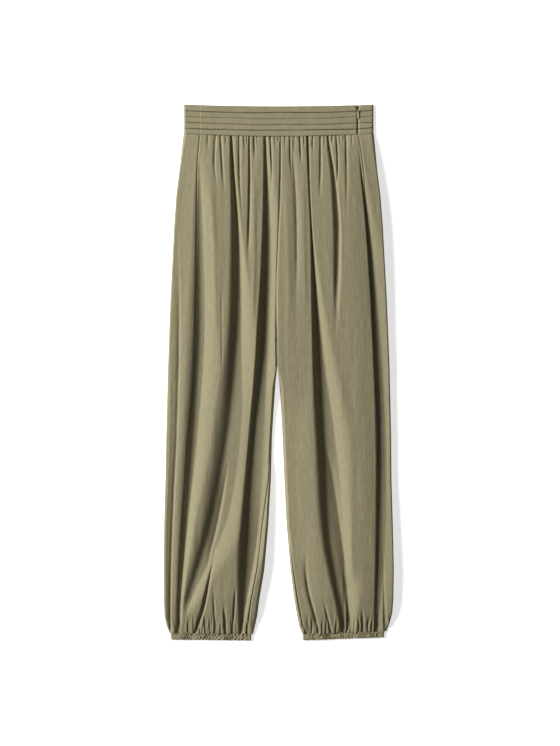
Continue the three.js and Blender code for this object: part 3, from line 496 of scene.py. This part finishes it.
def band_top(x):
    return BAND_SAG * (1 - (x / BAND_HALF_WIDTH) ** 2)


def band_end(x):
    return WAIST_SEAM_DROP - WAIST_SEAM_RISE * (x / BAND_HALF_WIDTH) ** 2 - SEAM_GAP


def band_profile():
    """Shares down the band and heights above its plain surface, tuck by tuck."""
    lines, heights = [0.0, 0.006, 0.02], [-1.6, -0.4, 0.1]
    above = 0.0
    for tuck in TUCKS:
        start, end = above + 0.014, tuck.line
        for share, rise in TUCK_PROFILE:
            lines.append(mix(start, end, share))
            heights.append(tuck.height * rise)
        lines.append(end + 0.004)
        heights.append(-0.55)
        above = tuck.line
    lines[-1] = 1.0
    heights[-1] = -1.6
    return np.array(lines)[:, None], np.array(heights)[:, None]


def band_points(x):
    """Drops and heights of the band's upper layer, its tucks slightly uneven in line and in fullness."""
    lines, heights = band_profile()
    within = np.clip(lines * (1 - lines) * 12, 0, 1)
    wander = 0.012 * cloth_noise(x / 45, lines * 5, 41) * within
    drop = mix(band_top(x), band_end(x), lines + wander)
    fullness = 1 + 0.35 * cloth_noise(x / 30, lines * 5 + 3, 44) * within
    relief = 0.3 * cloth_noise(x / 22, lines * 9, 42) + 0.14 * cloth_noise(x / 7, lines * 14, 43)
    return drop, 2 * FOLD_RADIUS + heights * fullness + relief


def zip_edge(drop, side):
    """The edge of the cloth beside the zip's opening, which spreads above the slider."""
    spread = ZIP_NOTCH_SPREAD * np.clip(1 - drop / ZIP_NOTCH_DEPTH, 0, 1)
    return ZIP_X + side * (ZIP_OPENING / 2 + spread)


def waistband_front():
    """The tucked front of the waistband, from its side seam to the zip."""
    lines, _ = band_profile()
    edge_drop = mix(band_top(ZIP_X), band_end(ZIP_X), lines)
    x = mix(BAND_SEAM_X, zip_edge(edge_drop, -1), np.linspace(0, 1, 150))
    drop, z = band_points(x)
    roll = edge_roll(np.abs(x - x[:, -1:]), 1.6, 2.5)
    return cloth_piece("waistband_front_cloth", x, drop, z - roll, "waistband_front")


def waistband_back():
    """The plain back of the waistband, whose ends wrap round the edges on to the front."""
    lines, heights = band_profile()
    ones = np.ones_like(lines)
    flat_edge = BAND_HALF_WIDTH - FOLD_RADIUS
    edge_drop = mix(band_top(ZIP_X), band_end(ZIP_X), lines)
    left_x = mix(BAND_SEAM_X + LAP, -flat_edge, np.linspace(0, 1, 34)) * ones
    right_x = mix(flat_edge, zip_edge(edge_drop, 1), np.linspace(0, 1, 14))
    left_turn, turn_z = turned_point(-BAND_HALF_WIDTH, -1, EDGE_ANGLES)
    right_turn, _ = turned_point(BAND_HALF_WIDTH, 1, EDGE_ANGLES[::-1])
    under_x = np.linspace(-flat_edge, flat_edge, 60)
    left_drop, left_z = band_points(left_x)
    right_drop, right_z = band_points(right_x)
    left_z = left_z - (CLOTH + 0.15) * smooth((left_x - BAND_SEAM_X + 0.4) / 1.6)
    right_z = right_z - edge_roll(np.abs(right_x - right_x[:, -1:]), 1.6, 2.5)
    hidden = lambda x: mix(band_top(x), band_end(x), lines)
    tucked = np.clip(heights, 0, 1.2) * 0.5
    within = np.abs(under_x) < flat_edge - 1
    under_z = 0.05 + 0.35 * (1.2 - 2 * tucked) * np.ones_like(under_x) * within
    x = np.concatenate([left_x, left_turn * ones, under_x * ones, right_turn * ones, right_x], 1)
    drop = np.concatenate([left_drop, hidden(left_turn), hidden(under_x), hidden(right_turn), right_drop], 1)
    z = np.concatenate([left_z, turn_z * ones, under_z, turn_z[::-1] * ones, right_z], 1)
    return cloth_piece("waistband_back_cloth", x, drop, z, "waistband_back", flip=True)


CUFF_COLUMNS = 220
CUFF_PUCKERS = 27  # across the upper layer of a cuff

# Rows down a cuff: the share of its height, how far the casing puffs out there and how ragged it is
CuffRow = namedtuple("CuffRow", "share puff ragged")
CUFF_ROWS = [
    CuffRow(-0.05, 1.0, 0.7),
    CuffRow(0, 1.4, 0.5),
    CuffRow(0.05, 1.5, 0.3),
    CuffRow(0.12, 1.3, 0),
    CuffRow(0.25, 1.15, 0),
    CuffRow(0.45, 1.05, 0),
    CuffRow(0.65, 1.05, 0),
    CuffRow(0.8, 1.0, 0),
    CuffRow(0.9, 0.75, 0.2),
    CuffRow(0.96, 0.35, 0.35),
    CuffRow(1.0, -0.1, 0.35),
]
CUFF_STITCH_ROWS = (3, 8)


def cuff_points(leg):
    """A ring of casing over elastic, finely puckered on both sides. The upper layer's columns come first."""
    hem = leg.hem
    shares, puffs, rags = (np.array(column)[:, None] for column in zip(*CUFF_ROWS))
    outer = hem.outer - leg.out * 0.8 * shares
    inner = hem.inner + leg.out * 0.8 * shares
    top_from, top_to = outer - leg.out * FOLD_RADIUS, inner + leg.out * FOLD_RADIUS
    s = np.linspace(0, 1, CUFF_COLUMNS)
    top_x = mix(top_from, top_to, s)
    calm = np.clip(np.minimum(s, 1 - s) * 14, 0, 1)
    drift = 1.6 * cloth_noise(s * 9, s * 0, leg.seed + 7) + 0.3 * np.sin(shares * 9)
    phase = 2 * np.pi * (CUFF_PUCKERS * s + drift)
    pucker = np.cos(phase) * (0.6 + 0.4 * cloth_noise(s * 17, shares * 2 + 3, leg.seed + 8))
    lean = cloth_noise(s * 36 + shares * 1.5, shares * 2.4 + 9, leg.seed + 9)
    top_z = 2 * FOLD_RADIUS - 1.6 + 1.1 * puffs + calm * (1.9 * pucker + 0.9 * lean)
    inner_x, inner_z = turned_point(inner, -leg.out, EDGE_ANGLES)
    outer_x, outer_z = turned_point(outer, leg.out, EDGE_ANGLES[::-1])
    flatten = np.clip(puffs, 0.4, 1)
    inner_z, outer_z = mix(FOLD_RADIUS, inner_z, flatten), mix(FOLD_RADIUS, outer_z, flatten)
    under_x = mix(top_to, top_from, np.linspace(0, 1, 70))
    under_folds = np.abs(cloth_noise(under_x / 3.4, shares * 2, leg.seed + 10))
    under_z = 0.1 + 0.9 * (1 - np.clip(puffs, 0, 1)) + 0.5 * under_folds
    x = np.concatenate([top_x, inner_x, under_x, outer_x], 1)
    z = np.concatenate([top_z, inner_z, under_z, outer_z], 1)
    across = np.clip((x - hem.outer) / (hem.inner - hem.outer), 0, 1)
    top, end = mix(hem.outer_top, hem.inner_top, across), mix(hem.outer_end, hem.inner_end, across)
    ragged = cloth_noise(x / 2.8, z * 0, leg.seed + 12) * rags
    return x, mix(top, end, shares) + ragged, z


def cuff(leg):
    """A whole cuff, closed into a ring."""
    x, drop, z = cuff_points(leg)
    return cloth_piece(f"{leg.name}_cuff_cloth", x, drop, z, f"{leg.name}_cuff",
                       flip=leg.out > 0, ring=True)


ZIP_TAPE_WIDTH = 10
ZIP_TAPE_DROPS = (5.5, 58.5)


def zip_tape():
    """The woven tape behind the zip, seen in the notch above the slider and along the opening."""
    drop = np.linspace(*ZIP_TAPE_DROPS, 40)[:, None] * np.ones(9)
    x = ZIP_X + np.linspace(-ZIP_TAPE_WIDTH / 2, ZIP_TAPE_WIDTH / 2, 9) * np.ones_like(drop)
    z = 2.6 + 0.12 * cloth_noise(x / 2, drop / 5, 61)
    return cloth_piece("zip_tape", x, drop, z, None)


def node(tree, kind, inputs=(), **settings):
    """A node with its settings, and each input either linked to a socket or given a value."""
    made = tree.nodes.new(kind)
    for key, value in settings.items():
        setattr(made, key, value)
    for key, value in dict(inputs).items():
        if isinstance(value, bpy.types.NodeSocket):
            tree.links.new(value, made.inputs[key])
        else:
            made.inputs[key].default_value = value
    return made


def bead_tree():
    """Beads along a line: stitches end to end, or the loops of a zip's coil."""
    tree = bpy.data.node_groups.new("beads_on_a_line", "GeometryNodeTree")
    tree.interface.new_socket("Line", in_out="INPUT", socket_type="NodeSocketGeometry")
    for name, size in (("Pitch", 0.003), ("Length", 0.002), ("Width", 0.0004), ("Height", 0.0004)):
        tree.interface.new_socket(name, in_out="INPUT", socket_type="NodeSocketFloat").default_value = size
    tree.interface.new_socket("Finish", in_out="INPUT", socket_type="NodeSocketMaterial")
    tree.interface.new_socket("Beads", in_out="OUTPUT", socket_type="NodeSocketGeometry")
    given = tree.nodes.new("NodeGroupInput").outputs
    curve = node(tree, "GeometryNodeMeshToCurve", {"Mesh": given["Line"]}).outputs[0]
    spaced = node(tree, "GeometryNodeResampleCurve",
                  {"Curve": curve, "Length": given["Pitch"]}, mode="LENGTH").outputs[0]
    bead = node(tree, "GeometryNodeMeshUVSphere", {"Segments": 8, "Rings": 6, "Radius": 0.5}).outputs[0]
    size = node(tree, "ShaderNodeCombineXYZ",
                {"X": given["Length"], "Y": given["Width"], "Z": given["Height"]}).outputs[0]
    tangent = node(tree, "GeometryNodeInputTangent").outputs[0]
    turn = node(tree, "FunctionNodeAlignRotationToVector", {"Vector": tangent}, axis="X").outputs[0]
    placed = node(tree, "GeometryNodeInstanceOnPoints",
                  {"Points": spaced, "Instance": bead, "Rotation": turn, "Scale": size}).outputs[0]
    real = node(tree, "GeometryNodeRealizeInstances", {"Geometry": placed}).outputs[0]
    rounded = node(tree, "GeometryNodeSetShadeSmooth", {"Geometry": real}).outputs[0]
    finished = node(tree, "GeometryNodeSetMaterial",
                    {"Geometry": rounded, "Material": given["Finish"]}).outputs[0]
    node(tree, "NodeGroupOutput", {"Beads": finished})
    return tree


def beads(name, lines, finish, bead):
    """One mesh of beads along lines, each a list of (x, drop, z) in millimetres."""
    points = [(x * MM, (LENGTH / 2 - drop) * MM, z * MM) for line in lines for x, drop, z in line]
    edges, first = [], 0
    for line in lines:
        edges += [(first + i, first + i + 1) for i in range(len(line) - 1)]
        first += len(line)
    path = bpy.data.meshes.new(name + "_path")
    path.from_pydata(points, edges, [])
    made = bpy.data.objects.new(name, path)
    bpy.context.collection.objects.link(made)
    modifier = made.modifiers.new("beads", "NODES")
    modifier.node_group = BEADS
    sockets = {item.name: item.identifier for item in BEADS.interface.items_tree if item.in_out == "INPUT"}
    for key in bead._fields:
        modifier[sockets[key.capitalize()]] = getattr(bead, key) * MM
    modifier[sockets["Finish"]] = finish
    depsgraph = bpy.context.evaluated_depsgraph_get()
    made.data = bpy.data.meshes.new_from_object(made.evaluated_get(depsgraph))
    made.modifiers.clear()
    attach(made, "trousers")
    return made


def ramp(tree, value, low, high):
    """Two colours, each a place between 0 and 1 and a colour, blended by a value."""
    made = node(tree, "ShaderNodeValToRGB", {"Fac": value})
    for element, (at, colour) in zip(made.color_ramp.elements, (low, high)):
        element.position, element.color = at, (*colour, 1)
    return made.outputs[0]


def scaled(colour, share):
    """A colour made darker or lighter."""
    return tuple(c * share for c in colour)


def crinkled_cloth(name, base, painted_shade, light, streak=1.0):
    """Thin crinkled weave: short lengthwise streaks, a slight sheen, slight changes of tone, and painted
    shade and light along the streaks, darker where they sink and lighter where they stand up.
    """
    material = bpy.data.materials.new(name)
    material.use_nodes = True
    tree = material.node_tree
    tree.nodes.clear()
    cloth = node(tree, "ShaderNodeUVMap", uv_map="cloth").outputs[0]
    place = lambda scale: node(tree, "ShaderNodeMapping", {"Vector": cloth, "Scale": scale}).outputs[0]
    noise = lambda scale, detail, rough: node(
        tree, "ShaderNodeTexNoise",
        {"Vector": place(scale), "Scale": 1.0, "Detail": detail, "Roughness": rough}).outputs["Fac"]
    streaks = noise((300, 62, 1), 3.0, 0.6)
    wide = noise((60, 12, 1), 2.0, 0.5)
    blotch = noise((9, 4, 1), 2.0, 0.5)
    slub = noise((620, 240, 1), 2.0, 0.6)
    warp = node(tree, "ShaderNodeTexWave", {"Vector": place((1, 1, 1)), "Scale": 340.0, "Distortion": 0.4},
                wave_type="BANDS", bands_direction="X").outputs["Fac"]
    weft = node(tree, "ShaderNodeTexWave", {"Vector": place((1, 1, 1)), "Scale": 340.0, "Distortion": 0.4},
                wave_type="BANDS", bands_direction="Y").outputs["Fac"]
    weave = node(tree, "ShaderNodeMath", {0: warp, 1: weft}, operation="MULTIPLY").outputs[0]
    # painted shade and light on the crinkles: the streaks' colour goes from the shade colour where their
    # bumps are low to the light colour where they are high
    painted_crinkle_shading = ramp(tree, streaks, (0.3, painted_shade), (0.72, light))
    tint = ramp(tree, blotch, (0.25, scaled(base, 0.95)), (0.8, scaled(base, 1.04)))
    # the random tone, mixed with the painted shade and light of the streaks
    tone_and_painted_shading = tree.nodes.new("ShaderNodeMix")
    tone_and_painted_shading.data_type = "RGBA"
    tone_and_painted_shading.inputs[0].default_value = 0.45
    tree.links.new(tint, tone_and_painted_shading.inputs[6])
    tree.links.new(painted_crinkle_shading, tone_and_painted_shading.inputs[7])
    surface = node(tree, "ShaderNodeBsdfPrincipled", {
        "Base Color": tone_and_painted_shading.outputs[2], "Roughness": 0.8, "Sheen Weight": 0.08, "Sheen Roughness": 0.5})
    surface.inputs["Specular IOR Level"].default_value = 0.2
    surface.inputs["Sheen Tint"].default_value = (0.95, 0.92, 0.8, 1)
    bump = None
    for value, strength, distance in ((wide, 0.3 * streak, 0.0014), (streaks, 0.42 * streak, 0.0008),
                                      (slub, 0.75 * streak, 0.0004), (weave, 0.3, 0.0001)):
        inputs = {"Height": value, "Strength": strength, "Distance": distance}
        if bump:
            inputs["Normal"] = bump
        bump = node(tree, "ShaderNodeBump", inputs).outputs[0]
    tree.links.new(bump, surface.inputs["Normal"])
    node(tree, "ShaderNodeOutputMaterial", {"Surface": surface.outputs[0]})
    return material


def enamelled_metal(name, colour):
    """Painted metal with faint wear and fine unevenness."""
    material = bpy.data.materials.new(name)
    material.use_nodes = True
    tree = material.node_tree
    surface = tree.nodes["Principled BSDF"]
    spots = node(tree, "ShaderNodeTexNoise", {
        "Vector": node(tree, "ShaderNodeTexCoord").outputs["Object"], "Scale": 900.0, "Detail": 3.0})
    wear = ramp(tree, spots.outputs["Fac"], (0.35, scaled(colour, 0.85)), (0.75, colour))
    tree.links.new(wear, surface.inputs["Base Color"])
    surface.inputs["Metallic"].default_value = 0.25
    surface.inputs["Roughness"].default_value = 0.38
    bump = node(tree, "ShaderNodeBump",
                {"Height": spots.outputs["Fac"], "Strength": 0.15, "Distance": 0.0001}).outputs[0]
    tree.links.new(bump, surface.inputs["Normal"])
    return material


def thread(name, colour):
    """Spun thread: a fine change of tone and a slight sheen."""
    material = bpy.data.materials.new(name)
    material.use_nodes = True
    tree = material.node_tree
    surface = tree.nodes["Principled BSDF"]
    place = node(tree, "ShaderNodeTexCoord").outputs["Object"]
    fibres = node(tree, "ShaderNodeTexNoise",
                  {"Vector": place, "Scale": 2600.0, "Detail": 3.0}).outputs["Fac"]
    tone = ramp(tree, fibres, (0.3, scaled(colour, 0.8)), (0.7, scaled(colour, 1.1)))
    bump = node(tree, "ShaderNodeBump", {"Height": fibres, "Strength": 0.4, "Distance": 0.00005}).outputs[0]
    tree.links.new(tone, surface.inputs["Base Color"])
    tree.links.new(bump, surface.inputs["Normal"])
    surface.inputs["Roughness"].default_value = 0.6
    surface.inputs["Sheen Weight"].default_value = 0.1
    return material


# Each cloth's last two colours are the painted shade and painted light of its crinkled streaks
LEG_CLOTH = crinkled_cloth(
    "leg_cloth", (0.21, 0.186, 0.109), (0.166, 0.146, 0.084), (0.252, 0.225, 0.136))
BAND_CLOTH = crinkled_cloth(
    "band_cloth", (0.212, 0.187, 0.110), (0.178, 0.157, 0.092), (0.245, 0.217, 0.131), streak=0.7)
ZIP_METAL = enamelled_metal("zip_metal", (0.42, 0.39, 0.29))
THREAD = thread("sewing_thread", (0.23, 0.205, 0.125))
COIL = thread("zip_coil", (0.2, 0.178, 0.108))
BEADS = bead_tree()

band_pieces = [waistband_front(), waistband_back()]
tape = zip_tape()
tape.data.materials.append(BAND_CLOTH)
fronts = [front_panel(leg) for leg in (RIGHT, LEFT)]
backs = [back_panel(leg) for leg in (RIGHT, LEFT)]
cuffs = [cuff(leg) for leg in (RIGHT, LEFT)]
for piece in fronts + backs:
    piece.data.materials.append(LEG_CLOTH)
for piece in band_pieces + cuffs:
    piece.data.materials.append(BAND_CLOTH)
for name in ("zip_slider", "zip_pull_tab"):
    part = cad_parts[name]
    part.data.materials.clear()
    part.data.materials.append(ZIP_METAL)


# The size of one bead, in millimetres: its distance from the next along the line, and its own extent
Bead = namedtuple("Bead", "pitch length width height")
CUFF_STITCH = Bead(3.4, 2.6, 0.45, 0.4)
WAIST_STITCH = Bead(3.2, 2.4, 0.4, 0.35)
COIL_LOOP = Bead(0.9, 0.62, 1.45, 1.1)

STITCH_LIFT = 0.1  # above the cloth's surface
WAIST_STITCH_ROW = -9  # counted from the band's last row
WAIST_STITCH_REACH = 173  # on both sides of the centre
COIL_APART = 0.75
COIL_HEIGHT = 3.3
COIL_DROPS = (19, 58)


def cuff_lines(leg):
    """Two rows of stitches through the casing's upper layer."""
    x, drop, z = cuff_points(leg)
    inside = slice(4, CUFF_COLUMNS - 4)
    return [
        list(zip(x[row, inside], drop[row, inside], z[row, inside] + STITCH_LIFT))
        for row in CUFF_STITCH_ROWS]


def waist_lines():
    """The edge stitching just above the waist seam, front and back of the zip."""
    lines = []
    profile, _ = band_profile()
    reach = WAIST_STITCH_REACH
    for start, end in ((-reach, BAND_SEAM_X - 1), (BAND_SEAM_X + 1, ZIP_X - 5), (ZIP_X + 5, reach)):
        x = np.linspace(start, end, max(4, int((end - start) / 2)))
        drop, z = band_points(x * np.ones((len(profile), 1)))
        lines.append(list(zip(x, drop[WAIST_STITCH_ROW], z[WAIST_STITCH_ROW] + STITCH_LIFT)))
    return lines


def zip_lines():
    """The two sides of the zip's coil, below the slider."""
    drops = np.linspace(*COIL_DROPS, 30)
    return [[(ZIP_X + side * COIL_APART, drop, COIL_HEIGHT) for drop in drops] for side in (-1, 1)]


for leg in (RIGHT, LEFT):
    beads(f"{leg.name}_cuff_stitching", cuff_lines(leg), THREAD, CUFF_STITCH)
beads("waistband_stitching", waist_lines(), THREAD, WAIST_STITCH)
beads("zip_coil", zip_lines(), COIL, COIL_LOOP)


FLOOR_LEVEL = -0.0004
FLOOR_GLOW = 0.63  # keeps the shadow on the floor as pale as it is in the photo


def floor():
    """A pale surface under the garment, which lights up the shadow on it a little."""
    mesh = bpy.data.meshes.new("floor")
    mesh.from_pydata([(-6, -6, 0), (6, -6, 0), (6, 6, 0), (-6, 6, 0)], [], [(0, 1, 2, 3)])
    made = bpy.data.objects.new("floor", mesh)
    made.location.z = FLOOR_LEVEL
    bpy.context.collection.objects.link(made)
    material = bpy.data.materials.new("pale_floor")
    material.use_nodes = True
    surface = material.node_tree.nodes["Principled BSDF"]
    surface.inputs["Base Color"].default_value = (0.9, 0.9, 0.895, 1)
    surface.inputs["Roughness"].default_value = 0.9
    surface.inputs["Specular IOR Level"].default_value = 0.1
    surface.inputs["Emission Color"].default_value = (1, 1, 1, 1)
    surface.inputs["Emission Strength"].default_value = FLOOR_GLOW
    mesh.materials.append(material)


def softbox(name, place, size, power):
    """A plain white area light, aimed at the middle of the garment."""
    light = bpy.data.lights.new(name, "AREA")
    light.shape = "RECTANGLE"
    light.size, light.size_y = size
    light.energy = power
    lamp = bpy.data.objects.new(name, light)
    lamp.location = place
    lamp.rotation_euler = (-Vector(place)).to_track_quat("-Z", "Y").to_euler()
    bpy.context.collection.objects.link(lamp)


def camera():
    """Straight above, at the distance that fits 1.39 m into the picture's height."""
    lens = bpy.data.cameras.new("camera")
    lens.lens = 85
    lens.sensor_width = 36
    made = bpy.data.objects.new("camera", lens)
    made.location = (0.0024, -0.001, 3.29)
    bpy.context.collection.objects.link(made)
    bpy.context.scene.camera = made


floor()
softbox("key", (-5.1, 1.9, 3.5), (2.6, 2.6), 915)
softbox("fill", (0.6, -0.4, 3.4), (3.0, 3.0), 6)
world = bpy.data.worlds.new("studio")
world.use_nodes = True
world.node_tree.nodes["Background"].inputs[0].default_value = (1, 1, 1, 1)
world.node_tree.nodes["Background"].inputs[1].default_value = 0.07
bpy.context.scene.world = world
bpy.context.scene.view_settings.view_transform = "Standard"
camera()
